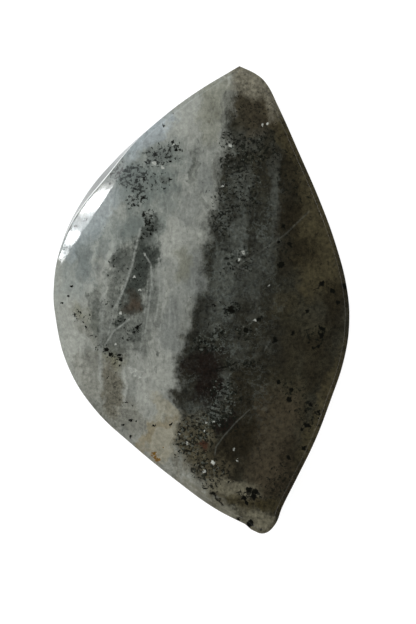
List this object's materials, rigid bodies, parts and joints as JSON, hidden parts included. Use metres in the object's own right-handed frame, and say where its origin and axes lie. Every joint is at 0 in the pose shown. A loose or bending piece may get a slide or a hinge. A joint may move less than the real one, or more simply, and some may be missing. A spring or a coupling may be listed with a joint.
{
  "type": "polished freeform labradorite cabochon",
  "caption": "Freeform leaf-shaped labradorite cabochon: low polished dome, narrow ground bevel with one wide flat facet, flat back to set or glue.",
  "frame": {"origin": "middle of the stone's length and width, on the plane of its flat back", "axes": "+X to the right and +Y towards the pointed top tip, seen from above; +Z out of the dome"},
  "size_m": [0.0306, 0.048, 0.006],
  "materials": {
    "labradorite": "polished"
  },
  "bodies": {
    "root": {"cabochon": "labradorite"}
  },
  "joints": []
}
